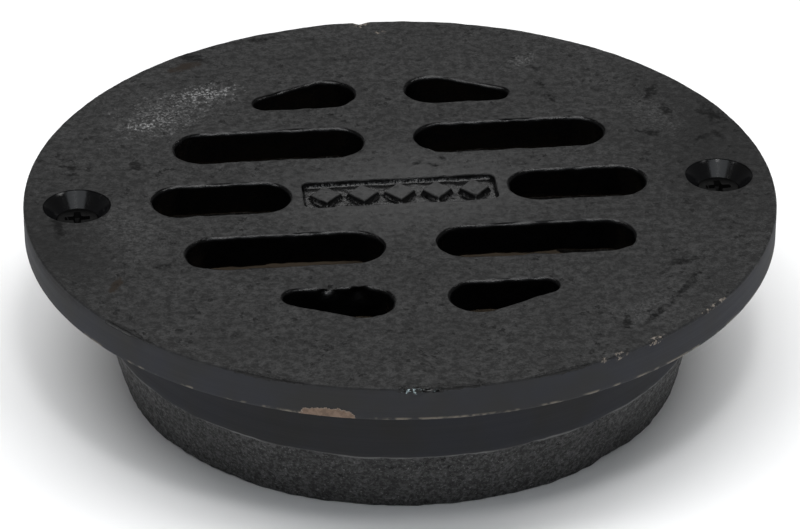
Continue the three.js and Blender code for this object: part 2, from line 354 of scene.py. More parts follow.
class Shell:
    """Gathers the faces of one body in millimetres, and which kind of surface each vertex is on."""

    def __init__(self):
        self.points = []
        self.faces = []
        self.kinds = []
        self.size = 0

    def add(self, points, faces, kind):
        """kind is (turned, gloss): the shares of lathe-turned and of thickly painted surface. It is as-cast
        where both are 0."""
        points = np.asarray(points, float)
        kind = np.broadcast_to(np.asarray(kind, float), (len(points), 2))
        self.points.append(points)
        self.kinds.append(kind)
        self.faces.extend([tuple(i + self.size for i in face) for face in faces])
        self.size += len(points)

    def strips(self, loops, kinds):
        """Joins each closed loop of 3-D points to the next one with quads."""
        count = len(loops[0])
        faces = []
        for k in range(len(loops) - 1):
            low, high = k * count, (k + 1) * count
            for i in range(count):
                j = (i + 1) % count
                faces.append((low + i, low + j, high + j, high + i))
        spread = np.repeat(np.asarray(kinds, float), count, axis=0)
        self.add(np.concatenate(loops), faces, spread)

    def sheet(self, outlines, inside, spacing, height, kind):
        """Fills the region of the plan where inside(points) is over 0 with small triangles."""
        lows = np.min([o.min(axis=0) for o in outlines], axis=0)
        highs = np.max([o.max(axis=0) for o in outlines], axis=0)
        xs = np.arange(lows[0], highs[0], spacing)
        ys = np.arange(lows[1], highs[1], spacing * math.sqrt(3) / 2)
        grid = np.stack(np.meshgrid(xs, ys), axis=-1)
        grid[1::2, :, 0] += spacing / 2
        grid = grid.reshape(-1, 2) + rng.uniform(-0.16, 0.16, (len(xs) * len(ys), 2)) * spacing
        grid = grid[inside(grid) > 0.55 * spacing]
        edges, start = [], 0
        for outline in outlines:
            n = len(outline)
            edges += [(start + i, start + (i + 1) % n) for i in range(n)]
            start += n
        vertices = [Vector(p) for p in np.concatenate(list(outlines) + [grid])]
        plan, _, triangles, *_ = delaunay_2d_cdt(vertices, edges, [], 0, 1e-7, False)
        plan = np.array([tuple(p) for p in plan])
        triangles = np.array(triangles)
        middles = plan[triangles].mean(axis=1)
        triangles = triangles[inside(middles) > 0]
        heights = height(plan) if callable(height) else np.full(len(plan), height)
        kinds = kind(plan) if callable(kind) else kind
        self.add(np.column_stack([plan, heights]), triangles.tolist(), kinds)

    def build(self, name):
        """Merges vertices that meet, and makes a closed mesh object in metres, its faces pointing out."""
        points, kinds = np.concatenate(self.points), np.concatenate(self.kinds)
        _, first, same = np.unique(np.round(points, 4), axis=0, return_index=True, return_inverse=True)
        same = same.reshape(-1)
        faces = [tuple(dict.fromkeys(same[list(face)].tolist())) for face in self.faces]
        mesh = bpy.data.meshes.new(name)
        mesh.from_pydata((points[first] / METRE).tolist(), [], [f for f in faces if len(f) > 2])
        work = bmesh.new()
        work.from_mesh(mesh)
        loose = [v for v in work.verts if not v.link_faces]
        bmesh.ops.delete(work, geom=loose, context="VERTS")
        bmesh.ops.recalc_face_normals(work, faces=work.faces)
        used = sorted(set(i for f in faces for i in f))
        work.to_mesh(mesh)
        work.free()
        kinds = kinds[first][used]
        for column, label in enumerate(("turned", "gloss")):
            store(mesh, label, np.ascontiguousarray(kinds[:, column]))
        mesh.shade_smooth()
        thing = bpy.data.objects.new(name, mesh)
        bpy.context.scene.collection.objects.link(thing)
        return thing


def at_height(loop, height):
    return np.column_stack([loop, np.full(len(loop), height)])


def quarter_round(radius, steps):
    """(inset, drop) from the start of a rounded edge to its end."""
    turns = np.linspace(0, math.pi / 2, steps + 1)
    return [(radius * math.sin(t), radius * (1 - math.cos(t))) for t in turns]


def read_array(mesh, items, key, width):
    values = np.empty(len(items) * width)
    items.foreach_get(key, values)
    return values.reshape(-1, width)


def lumps(points, layers, seed):
    """Random heights over the points. layers are (size of lumps, height) in millimetres."""
    total = np.zeros(len(points))
    for k, (size, height) in enumerate(layers):
        shift = Vector((seed + 17.3 * k, 5.1 * seed, 9.7 * k))
        total += height * np.array([noise.noise(Vector(p) / size + shift) for p in points])
    return total


def roughen(thing, cast_layers, run_layers, seed, dents):
    """Moves as-cast vertices in or out along their normals, and presses dents in. Turned surfaces stay as
    they are. A dent is (centre, radius, depth)."""
    mesh = thing.data
    points = read_array(mesh, mesh.vertices, "co", 3) * METRE
    normals = read_array(mesh, mesh.vertex_normals, "vector", 3)
    turned = read_array(mesh, mesh.attributes["turned"].data, "value", 1)[:, 0]
    gloss = read_array(mesh, mesh.attributes["gloss"].data, "value", 1)[:, 0]
    cast, run = lumps(points, cast_layers, seed), lumps(points, run_layers, seed + 40)
    push = (cast + (run - cast) * gloss) * (1 - turned)
    for centre, radius, depth in dents:
        away = np.linalg.norm(points - np.array(centre), axis=1) / radius
        ragged = 1 + 0.9 * lumps(points, [(radius * 0.6, 1)], seed + 80)
        push -= depth * smooth_step((1 - away) * 1.6) * ragged
    floor, ceiling = points[:, 2].min(), points[:, 2].max()
    points += normals * push[:, None]
    points[:, 2] = np.clip(points[:, 2], floor, ceiling + TOP_GRAIN)
    mesh.vertices.foreach_set("co", (points / METRE).ravel())
    mesh.update()


def store(mesh, name, values):
    layer = mesh.attributes.new(name, "FLOAT", "POINT")
    layer.data.foreach_set("value", values)


def place_marks(thing, marks):
    """Stores how deep each vertex lies inside each kind of mark: 1 at a mark's centre, 0 at its outline."""
    points = read_array(thing.data, thing.data.vertices, "co", 3) * METRE
    for name, ovals in marks.items():
        depth = np.full(len(points), -2.0)
        for centre, half, lean in ovals:
            turn = math.radians(lean)
            local = points - np.array(centre)
            along = local[:, 0] * math.cos(turn) + local[:, 1] * math.sin(turn)
            across = local[:, 1] * math.cos(turn) - local[:, 0] * math.sin(turn)
            away = np.stack([along, across, local[:, 2]], axis=1) / np.array(half)
            depth = np.maximum(depth, 1 - np.linalg.norm(away, axis=1))
        store(thing.data, name, depth)


# ---- The grate ----


def panel_sink(points):
    """How far the sunk panel takes the top face down: 1 on its floor, 0 on its lozenges and around it."""
    sunk = smooth_step((0.25 - rounded_rectangle_distance(points, PANEL_HALF, PANEL_CORNER)) / PANEL_WALL)
    raised = np.zeros(len(points))
    for x in lozenge_places():
        inside = 0.3 - lozenge_distance(points, x, LOZENGE_HALF)
        raised = np.maximum(raised, smooth_step(inside / PANEL_WALL))
    return sunk * (1 - raised)


def top_height(points):
    return TOP - PANEL_DEPTH * panel_sink(points)


def top_kind(points):
    """Cast all over, with paint that has run together in the panel."""
    return np.column_stack([np.zeros(len(points)), smooth_step(panel_sink(points) * 2.5)])


def lozenge_places():
    return [(i - (LOZENGE_COUNT - 1) / 2) * LOZENGE_PITCH for i in range(LOZENGE_COUNT)]


def panel_loops():
    """Rings of points along the panel's wall and the lozenges' sides, so that both come out crisp."""
    loops = []
    for offset in (0.25, 0.05, -0.25):
        half = [h + offset for h in PANEL_HALF]
        corner = PANEL_CORNER + offset
        loop = []
        for k, (sx, sy) in enumerate(((1, 1), (-1, 1), (-1, -1), (1, -1))):
            for t in np.linspace(0, math.pi / 2, 6):
                angle = t + k * math.pi / 2
                centre = (sx * (half[0] - corner), sy * (half[1] - corner))
                loop.append((centre[0] + corner * math.cos(angle), centre[1] + corner * math.sin(angle)))
        loops.append(resampled(np.array(loop), 0.45))
    for x in lozenge_places():
        for offset in (0.3, 0.0, -0.2):
            a, b = (h + offset * math.hypot(*LOZENGE_HALF) / other
                    for h, other in zip(LOZENGE_HALF, LOZENGE_HALF[::-1]))
            loops.append(resampled(np.array([(x + a, 0), (x, b), (x - a, 0), (x, -b)]), 0.45))
    return loops


def resampled(loop, step):
    """A closed loop with points added so that no side is longer than step."""
    out = []
    for a, b in zip(loop, np.roll(loop, -1, axis=0)):
        n = max(1, math.ceil(math.hypot(*(b - a)) / step))
        out += [a + (b - a) * k / n for k in range(n)]
    return np.array(out)


def add_top(shell, slots, mouths, rim):
    def inside(points):
        gaps = [slot.distance(points) - SLOT_MOUTH for slot in slots]
        gaps += [mouth.distance(points) - MOUTH_EDGE for mouth in mouths]
        return np.min(gaps + [-rim.distance(points) - RIM_EDGE], axis=0)

    outlines = [slot.loop(SLOT_MOUTH) for slot in slots] + [mouth.loop(MOUTH_EDGE) for mouth in mouths]
    outlines += [rim.loop(-RIM_EDGE)]
    shell.sheet(outlines + panel_loops(), inside, GRAIN, top_height, top_kind)


def add_slot_walls(shell, slot):
    """A rounded upper edge, a wall that leans out a little on its way down, and a rounded foot."""
    profile = [(SLOT_MOUTH - inset, TOP - drop) for inset, drop in quarter_round(SLOT_EDGE, 8)]
    wall_top, wall_foot = TOP - SLOT_EDGE, SEAT + SLOT_FOOT_EDGE
    for share in np.linspace(0, 1, 7)[1:]:
        offset = (1 - share) * (SLOT_MOUTH - SLOT_EDGE) + share * SLOT_FOOT_OFFSET
        profile.append((offset, wall_top + share * (wall_foot - wall_top)))
    foot = quarter_round(SLOT_FOOT_EDGE, 3)[::-1][1:]
    profile += [(SLOT_FOOT_OFFSET + SLOT_FOOT_EDGE - inset, SEAT + drop) for inset, drop in foot]
    shades = [(0, smooth_step((TOP - z) / SLOT_EDGE * 9 - 0.1)) for _, z in profile]
    shell.strips([at_height(slot.loop(offset), z) for offset, z in profile], shades)


def add_screw_seat(shell, mouth):
    """A countersunk hole."""
    cone_width = MOUTH_RADIUS - SHANK_HOLE_RADIUS
    cone_depth = cone_width / SEAT_SLOPE
    profile = [(MOUTH_EDGE, TOP), (0, TOP - MOUTH_EDGE)]
    for share in np.linspace(0, 1, 9)[1:]:
        profile.append((-cone_width * share, TOP - MOUTH_EDGE - cone_depth * share))
    profile += [(-cone_width, SEAT)]
    kinds = [(1, 0.95)] * len(profile)
    shell.strips([at_height(mouth.loop(offset), z) for offset, z in profile], kinds)


def add_rim(shell, rim):
    rounding = quarter_round(RIM_EDGE, 4)
    profile = [(-RIM_EDGE + inset, TOP - drop) for inset, drop in rounding]
    profile += [(0, z) for z in np.linspace(TOP - RIM_EDGE, SEAT + RIM_EDGE, 8)[1:]]
    profile += [(-RIM_EDGE + inset, SEAT + drop) for inset, drop in rounding][::-1][1:]
    turned = [(smooth_step((TOP - z) / RIM_EDGE), 0) for _, z in profile]
    shell.strips([at_height(rim.loop(offset), z) for offset, z in profile], turned)


def add_underside(shell, slots, mouths, rim, lip_inner, lip_outer):
    foot_offset = SLOT_FOOT_OFFSET + SLOT_FOOT_EDGE
    foot_loops = [slot.loop(foot_offset) for slot in slots]
    shank_loops = [mouth.loop(SHANK_HOLE_RADIUS - MOUTH_RADIUS) for mouth in mouths]
    holes = [Circle(mouth.x, SHANK_HOLE_RADIUS, 0.4) for mouth in mouths]

    def inside_lip(points):
        gaps = [slot.distance(points) - foot_offset for slot in slots]
        return np.min(gaps + [-lip_inner.distance(points)], axis=0)

    def outside_lip(points):
        gaps = [hole.distance(points) for hole in holes] + [lip_outer.distance(points)]
        return np.min(gaps + [-rim.distance(points) - RIM_EDGE], axis=0)

    shell.sheet(foot_loops + [lip_inner.loop()], inside_lip, COARSE, SEAT, (0, 0))
    rim_loops = [rim.loop(-RIM_EDGE), lip_outer.loop()]
    shell.sheet(shank_loops + rim_loops, outside_lip, COARSE, SEAT, (1, 0))


def add_lip(shell, lip_inner, lip_outer):
    """The ring under the plate that centres it in the collar's bore."""
    heights = [SEAT, (SEAT + LIP_BOTTOM) / 2, LIP_BOTTOM + LIP_EDGE]
    for wall, offset, kind in ((lip_inner, LIP_EDGE, (0, 0)), (lip_outer, -LIP_EDGE, (1, 0))):
        loops = [at_height(wall.loop(), z) for z in heights]
        loops += [at_height(wall.loop(offset), LIP_BOTTOM)]
        shell.strips(loops, [kind] * len(loops))

    def inside(points):
        return np.minimum(lip_inner.distance(points), -lip_outer.distance(points)) - LIP_EDGE

    outlines = [lip_inner.loop(LIP_EDGE), lip_outer.loop(-LIP_EDGE)]
    shell.sheet(outlines, inside, COARSE, LIP_BOTTOM, (1, 0))


def mark_rim_foot(thing):
    """Stores where the rim's lower edge is, for the paint that is worn off there."""
    points = read_array(thing.data, thing.data.vertices, "co", 3) * METRE
    at_rim = np.hypot(points[:, 0], points[:, 1]) > RIM_RADIUS - 0.6 * RIM_EDGE
    rim_foot = 1 - np.abs(points[:, 2] - SEAT - 0.25) / 0.9
    store(thing.data, "rim_foot", np.where(at_rim, np.maximum(rim_foot, -1), -1.0))


def make_grate():
    shell = Shell()
    slots = slot_outlines()
    mouths = [Circle(side * SCREW_X, MOUTH_RADIUS, 0.4) for side in (1, -1)]
    rim = Circle(0, RIM_RADIUS, GRAIN)
    lip_outer, lip_inner = Circle(0, LIP_OUTER, COARSE), Circle(0, LIP_INNER, COARSE)
    add_top(shell, slots, mouths, rim)
    for slot in slots:
        add_slot_walls(shell, slot)
    for mouth in mouths:
        add_screw_seat(shell, mouth)
    add_rim(shell, rim)
    add_underside(shell, slots, mouths, rim, lip_inner, lip_outer)
    add_lip(shell, lip_inner, lip_outer)
    thing = shell.build("grate_casting")
    roughen(thing, [(14.0, 0.08), (4.5, 0.07), (1.9, 0.06)], [(5.0, 0.30), (1.8, 0.20)], 3, GRATE_DENTS)
    place_marks(thing, GRATE_MARKS)
    mark_rim_foot(thing)
    return thing


# ---- The collar ----


def ear_reach(turn):
    """The flange's outer radius at an angle from +X: a circle, with an ear out to each screw."""
    away = np.abs(np.sin(turn))
    near = np.abs(np.cos(turn))
    reach = SCREW_X * near + np.sqrt(np.maximum(EAR_RADIUS**2 - (SCREW_X * away) ** 2, 0))
    return np.where(SCREW_X * away < EAR_RADIUS, np.maximum(reach, FLANGE_RADIUS), FLANGE_RADIUS)


class Round:
    """A closed outline around the axis, with extra points where the ears are."""

    def __init__(self, step, ear_step):
        wide = np.arange(0, 2 * math.pi, step / SPIGOT_RADIUS)
        ear_half = math.asin(EAR_RADIUS / SCREW_X)
        fine = np.arange(-1.15 * ear_half, 1.15 * ear_half, ear_step / SCREW_X)
        fine = np.append(fine, [-ear_half, ear_half])
        fine = np.concatenate([fine, fine + math.pi]) % (2 * math.pi)
        clear = np.abs(np.sin(wide)) > math.sin(1.2 * ear_half)
        self.turns = np.sort(np.concatenate([wide[clear], fine]))

    def loop(self, radius):
        return np.stack([radius * np.cos(self.turns), radius * np.sin(self.turns)], axis=1)

    def ears(self, inset=0.0):
        return self.loop(ear_reach(self.turns) - inset)


def ring(outline, radius, height):
    return at_height(outline.loop(radius), height)


def border_wave(x, y):
    """How far the border between the skirt and the turned band rises at (x, y) on the unit circle."""
    broad = noise.noise(Vector((7 * x, 7 * y, 3)))
    fine = noise.noise(Vector((24 * x, 24 * y, 8)))
    return 0.30 * broad + 0.16 * fine


def add_outside(shell, outline):
    """The leaning skirt and the turned band above it, with a wavy border where they meet."""
    waves = np.array([border_wave(math.cos(t), math.sin(t)) for t in outline.turns])
    foot_inner = SKIRT_FOOT_RADIUS - FOOT_EDGE
    outside = [(foot_inner + inset, drop) for inset, drop in quarter_round(FOOT_EDGE, 4)]
    lean = (SPIGOT_RADIUS - SKIRT_STEP - SKIRT_FOOT_RADIUS) / (SKIRT_TOP - FOOT_EDGE)
    for z in np.linspace(FOOT_EDGE, SKIRT_TOP, 19)[1:]:
        outside.append((SKIRT_FOOT_RADIUS + lean * (z - FOOT_EDGE), z))
    kinds = [(0, 0)] * len(outside)
    band = np.linspace(SKIRT_TOP + 0.12, FLANGE_BOTTOM, 10)
    outside += [(SPIGOT_RADIUS, z) for z in band]
    kinds += [(1, 0)] * len(band)
    loops = []
    for radius, z in outside:
        near = max(0, 1 - abs(z - SKIRT_TOP) / 1.5)
        loops.append(ring(outline, radius, 0) + np.outer(z + waves * near, (0, 0, 1)))
    shell.strips(loops, kinds)


def add_flange_side(shell, outline):
    edge = quarter_round(FLANGE_EDGE, 3)
    side = [at_height(outline.ears(FLANGE_EDGE - inset), FLANGE_BOTTOM + drop) for inset, drop in edge]
    side += [at_height(outline.ears(), z) for z in np.linspace(FLANGE_BOTTOM, SEAT, 7)[1:-1]]
    side += [at_height(outline.ears(FLANGE_EDGE - inset), SEAT - drop) for inset, drop in edge][::-1]
    shell.strips(side, [(0, 0)] * len(side))


def add_bore(shell, outline):
    """The bore, with its rounded ends, and the ring that the collar stands on."""
    seat_outer, foot_outer = BORE_RADIUS + BORE_EDGE, BORE_RADIUS + FOOT_EDGE
    inside = [(seat_outer - inset, SEAT - drop) for inset, drop in quarter_round(BORE_EDGE, 3)]
    inside += [(BORE_RADIUS, z) for z in np.linspace(SEAT - BORE_EDGE, FOOT_EDGE, 22)[1:]]
    inside += [(foot_outer - inset, drop) for inset, drop in quarter_round(FOOT_EDGE, 4)][::-1][1:]
    shell.strips([ring(outline, radius, z) for radius, z in inside], [(0, 0.35)] * len(inside))
    foot = [ring(outline, radius, 0) for radius in (foot_outer, SKIRT_FOOT_RADIUS - FOOT_EDGE)]
    shell.strips(foot, [(1, 0)] * 2)


def add_flange_faces(shell, outline):
    """The faces above and below the flange, and the screw holes through its ears."""
    holes = [Circle(side * SCREW_X, SHANK_HOLE_RADIUS, 0.4) for side in (1, -1)]
    for hole in holes:
        heights = np.linspace(SEAT, FLANGE_BOTTOM, 4)
        shell.strips([at_height(hole.loop(), z) for z in heights], [(1, 0)] * 4)

    def inside(points, inner):
        radius = np.hypot(*points.T)
        outer = ear_reach(np.arctan2(points[:, 1], points[:, 0])) - FLANGE_EDGE
        gaps = [hole.distance(points) for hole in holes] + [radius - inner, outer - radius]
        return np.min(gaps, axis=0)

    for inner, height in ((BORE_RADIUS + BORE_EDGE, SEAT), (SPIGOT_RADIUS, FLANGE_BOTTOM)):
        outlines = [outline.loop(inner), outline.ears(FLANGE_EDGE)] + [hole.loop() for hole in holes]
        shell.sheet(outlines, lambda p, r=inner: inside(p, r), COARSE, height, (1, 0))


def mark_border(thing):
    """Stores how near each outside vertex is to the border between the skirt and the turned band, for the
    painted highlight along it.
    """
    points = read_array(thing.data, thing.data.vertices, "co", 3) * METRE
    radius = np.linalg.norm(points[:, :2], axis=1)
    wave = np.array([border_wave(x, y) for x, y in points[:, :2] / radius[:, None]])
    outside = radius > (BORE_RADIUS + SPIGOT_RADIUS) / 2
    border = 1 - np.abs(points[:, 2] - SKIRT_TOP - wave) / BORDER_REACH
    store(thing.data, "border", np.where(outside, np.maximum(border, -1), -1.0))


def make_collar():
    shell = Shell()
    outline = Round(0.7, 0.45)
    add_outside(shell, outline)
    add_flange_side(shell, outline)
    add_bore(shell, outline)
    add_flange_faces(shell, outline)
    thing = shell.build("collar_casting")
    roughen(thing, [(11.0, 0.14), (3.2, 0.16), (1.5, 0.14)], [(6.0, 0.3), (2.5, 0.15)], 8, COLLAR_DENTS)
    mark_border(thing)
    return thing


# ---- The screws ----


def cross_outline(length, width, radius):
    """A cross with rounded inner corners."""
    points = []
    for k in range(4):
        cos, sin = math.cos(k * math.pi / 2), math.sin(k * math.pi / 2)
        corner = width + radius * 0.3
        arm = [(length, -width), (length + 0.12, 0), (length, width)]
        arm += [(width + radius, width), (corner, corner)]
        for x, y in arm:
            points.append((x * cos - y * sin, x * sin + y * cos))
    return resampled(np.array(points), 0.2)


def screw_ring(turns, radius, z):
    """A ring of points around the screw's axis. radius is one number, or one for each point."""
    radius = np.broadcast_to(radius, turns.shape)
    return np.stack([radius * np.cos(turns), radius * np.sin(turns), np.full(len(turns), z)], axis=1)


def head_rings(turns, head_radius, cone_end):
    """The head, from its rounded upper edge down its cone."""
    rings = []
    for inset, drop in quarter_round(HEAD_ROUNDING, 3):
        rings.append(screw_ring(turns, head_radius - HEAD_ROUNDING + inset, HEAD_TOP - drop))
    cone_top = HEAD_TOP - HEAD_EDGE
    for share in (0, 0.33, 0.66, 1.0):
        radius = head_radius + (THREAD_RADIUS - head_radius) * share
        rings.append(screw_ring(turns, radius, cone_top + (cone_end - cone_top) * share))
    return rings


def thread_rings(turns, shank_end):
    """A right-hand thread that grows out of the plain shank over one turn, and the screw's tip."""
    rings = [screw_ring(turns, THREAD_RADIUS, shank_end)]
    rows = int((shank_end - SCREW_TIP) / THREAD_PITCH * 8)
    for z in np.linspace(shank_end, SCREW_TIP + TIP_CHAMFER, rows)[1:]:
        phase = (z / THREAD_PITCH - turns / (2 * math.pi)) % 1
        crest = np.clip(1.6 * (1 - np.abs(2 * phase - 1)) - 0.15, 0, 1)
        fade = np.clip((shank_end - z) / THREAD_PITCH, 0, 1)
        rings.append(screw_ring(turns, THREAD_RADIUS - THREAD_DEPTH * (1 - crest) * fade, z))
    rings.append(screw_ring(turns, SCREW_TIP_RADIUS, SCREW_TIP))
    return rings


def add_head_top(shell, head):
    """The cross recess, and the flat top of the head around it."""
    upper = cross_outline(CROSS_LENGTH, CROSS_WIDTH, CROSS_CORNER)
    lower = upper * CROSS_FLOOR_SHARE
    floor = HEAD_TOP - CROSS_DEPTH
    walls = [(upper, HEAD_TOP), (upper * 0.8, HEAD_TOP - CROSS_DEPTH * 0.7), (lower, floor)]
    shell.strips([at_height(loop, z) for loop, z in walls], [(0, 0)] * len(walls))

    def around(points):
        return np.minimum(-cross_inside(points, upper), -head.distance(points) - HEAD_ROUNDING)

    shell.sheet([lower], lambda p: cross_inside(p, lower), 0.3, floor, (0, 0))
    shell.sheet([head.loop(-HEAD_ROUNDING), upper], around, 0.35, HEAD_TOP, (0, 0))


def make_screw(name, x):
    shell = Shell()
    head_radius = MOUTH_RADIUS - (TOP - HEAD_TOP + HEAD_EDGE) * SEAT_SLOPE - HEAD_GAP
    head = Circle(0, head_radius, 0.2)
    turns = np.linspace(0, 2 * math.pi, head.count, endpoint=False)
    cone_end = HEAD_TOP - HEAD_EDGE - (head_radius - THREAD_RADIUS) / SEAT_SLOPE
    body = head_rings(turns, head_radius, cone_end) + thread_rings(turns, cone_end - 0.5)
    shell.strips(body, [(0, 0)] * len(body))
    add_head_top(shell, head)
    tip = screw_ring(turns, SCREW_TIP_RADIUS, 0)[:, :2]
    shell.sheet([tip], lambda p: SCREW_TIP_RADIUS - np.hypot(*p.T), 0.4, SCREW_TIP, (0, 0))
    thing = shell.build(name)
    thing.data.transform(Matrix.Translation((x / METRE, 0, 0)))
    thing.data.set_sharp_from_angle(angle=math.radians(35))
    return thing


def cross_inside(points, outline):
    """How far each point lies inside a closed outline of points, and under 0 outside it."""
    a, b = outline, np.roll(outline, -1, axis=0)
    side = b - a
    local = points[:, None] - a
    share = np.clip((local * side).sum(-1) / (side**2).sum(-1), 0, 1)
    near = np.linalg.norm(local - share[..., None] * side, axis=-1).min(axis=1)
    crossing = (a[:, 1] > points[:, None, 1]) != (b[:, 1] > points[:, None, 1])
    rise = np.where(side[:, 1] == 0, 1e-9, side[:, 1])
    reach = a[:, 0] + (points[:, None, 1] - a[:, 1]) * side[:, 0] / rise
    within = (crossing & (points[:, None, 0] < reach)).sum(axis=1) % 2 == 1
    return np.where(within, near, -near)


# ---- Materials ----


class Nodes:
    """Short names for making a material's nodes."""

    def __init__(self, name):
        self.material = bpy.data.materials.new(name)
        self.material.use_nodes = True
        self.tree = self.material.node_tree
        self.tree.nodes.clear()
        self.shader = self.tree.nodes.new("ShaderNodeBsdfPrincipled")
        output = self.tree.nodes.new("ShaderNodeOutputMaterial")
        self.link(self.shader.outputs[0], output.inputs[0])
        place = self.tree.nodes.new("ShaderNodeTexCoord").outputs["Object"]
        self.place = self.vector("SCALE", place, scale=METRE)
        self.fray = None

    def link(self, source, target):
        self.tree.links.new(source, target)

    def put(self, node, key, value):
        socket = node.inputs[key]
        if isinstance(value, bpy.types.NodeSocket):
            self.link(value, socket)
        else:
            socket.default_value = value

    def math(self, operation, a, b=0.0, c=0.0):
        node = self.tree.nodes.new("ShaderNodeMath")
        node.operation = operation
        for key, value in enumerate((a, b, c)):
            self.put(node, key, value)
        return node.outputs[0]

    def vector(self, operation, a, b=(0, 0, 0), scale=1.0):
        node = self.tree.nodes.new("ShaderNodeVectorMath")
        node.operation = operation
        self.put(node, 0, a)
        self.put(node, 1, b)
        if operation == "SCALE":
            self.put(node, "Scale", scale)
        return node.outputs["Value" if operation == "LENGTH" else "Vector"]

    def noise(self, size, detail=2.0, roughness=0.5, place=None, shift=0.0):
        """Noise from 0 to 1 with features about size millimetres wide."""
        node = self.tree.nodes.new("ShaderNodeTexNoise")
        moved = self.vector("ADD", place or self.place, (shift, shift * 0.7, shift * 0.3))
        self.put(node, "Vector", moved)
        self.put(node, "Scale", 1 / size)
        self.put(node, "Detail", detail)
        self.put(node, "Roughness", roughness)
        return node.outputs["Fac"]

    def cells(self, size, shift=0.0):
        """Distance from random points about size millimetres apart, in units of that size."""
        node = self.tree.nodes.new("ShaderNodeTexVoronoi")
        self.put(node, "Vector", self.vector("ADD", self.place, (shift, shift, shift)))
        self.put(node, "Scale", 1 / size)
        return node.outputs["Distance"]

    def between(self, value, low, high, to_low=0.0, to_high=1.0):
        """Maps low..high smoothly to to_low..to_high."""
        node = self.tree.nodes.new("ShaderNodeMapRange")
        node.interpolation_type = "SMOOTHSTEP"
        for key, number in zip(("Value", "From Min", "From Max", "To Min", "To Max"),
                               (value, low, high, to_low, to_high)):
            self.put(node, key, number)
        return node.outputs["Result"]

    def mix(self, share, a, b):
        node = self.tree.nodes.new("ShaderNodeMix")
        node.data_type = "RGBA"
        self.put(node, "Factor", share)
        self.put(node, 6, a)
        self.put(node, 7, b)
        return node.outputs[2]

    def blend(self, share, a, b):
        """a where share is 0 and b where it is 1."""
        return self.math("MULTIPLY_ADD", share, self.math("SUBTRACT", b, a), a)

    def attribute(self, name):
        node = self.tree.nodes.new("ShaderNodeAttribute")
        node.attribute_name = name
        return node.outputs["Fac"]

    def bump(self, height):
        """height is in millimetres."""
        node = self.tree.nodes.new("ShaderNodeBump")
        self.put(node, "Strength", 1.0)
        self.put(node, "Distance", 1 / METRE)
        self.put(node, "Height", height)
        self.link(node.outputs[0], self.shader.inputs["Normal"])

    def frayed(self, name, ragged=0.5, soft=0.3):
        """The share of a kind of mark, with a frayed outline."""
        if self.fray is None:
            self.fray = self.math("SUBTRACT", self.noise(1.3, 4, 0.65, shift=71), 0.5)
        depth = self.math("MULTIPLY_ADD", self.fray, ragged * 2, self.attribute(name))
        return self.between(depth, 0.0, soft)


class Surface:
    """A material's colour, roughness and height, which its marks change one after another."""

    def __init__(self, colour, roughness, height):
        self.colour = colour
        self.roughness = roughness
        self.height = height

    def mark(self, n, share, colour, roughness=None, rise=0.0):
        """Lays a mark over the surface where share is over 0. rise is in millimetres."""
        self.colour = n.mix(share, self.colour, colour)
        if roughness is not None:
            self.roughness = n.blend(share, self.roughness, roughness)
        if rise:
            self.height = n.math("MULTIPLY_ADD", share, rise, self.height)

    def finish(self, n):
        n.bump(self.height)
        n.link(self.colour, n.shader.inputs["Base Color"])
        n.link(self.roughness, n.shader.inputs["Roughness"])
        return n.material


def grey(level, warm=0.0):
    """A neutral colour, or a brownish one where warm is over 0."""
    return (level * (1 + warm), level, level * (1 - warm), 1)


TURNED_PAINT = (0.0225, 0.0240, 0.0300, 1)
THICK_PAINT = (0.0015, 0.0015, 0.0016, 1)
PRIMER = (0.195, 0.135, 0.100, 1)
RUST = (0.130, 0.090, 0.065, 1)
CHIP_BORDER = (0.26, 0.21, 0.17, 1)
BARE_EDGE = (0.120, 0.105, 0.085, 1)
# Bare iron, made light enough to stand as a painted glint
BARE_IRON_AND_GLINT = (0.36, 0.44, 0.46, 1)
STAIN = (0.015, 0.011, 0.008, 1)
SPECULAR_LEVEL = 0.22
SCREW_SPECULAR_LEVEL = 0.03


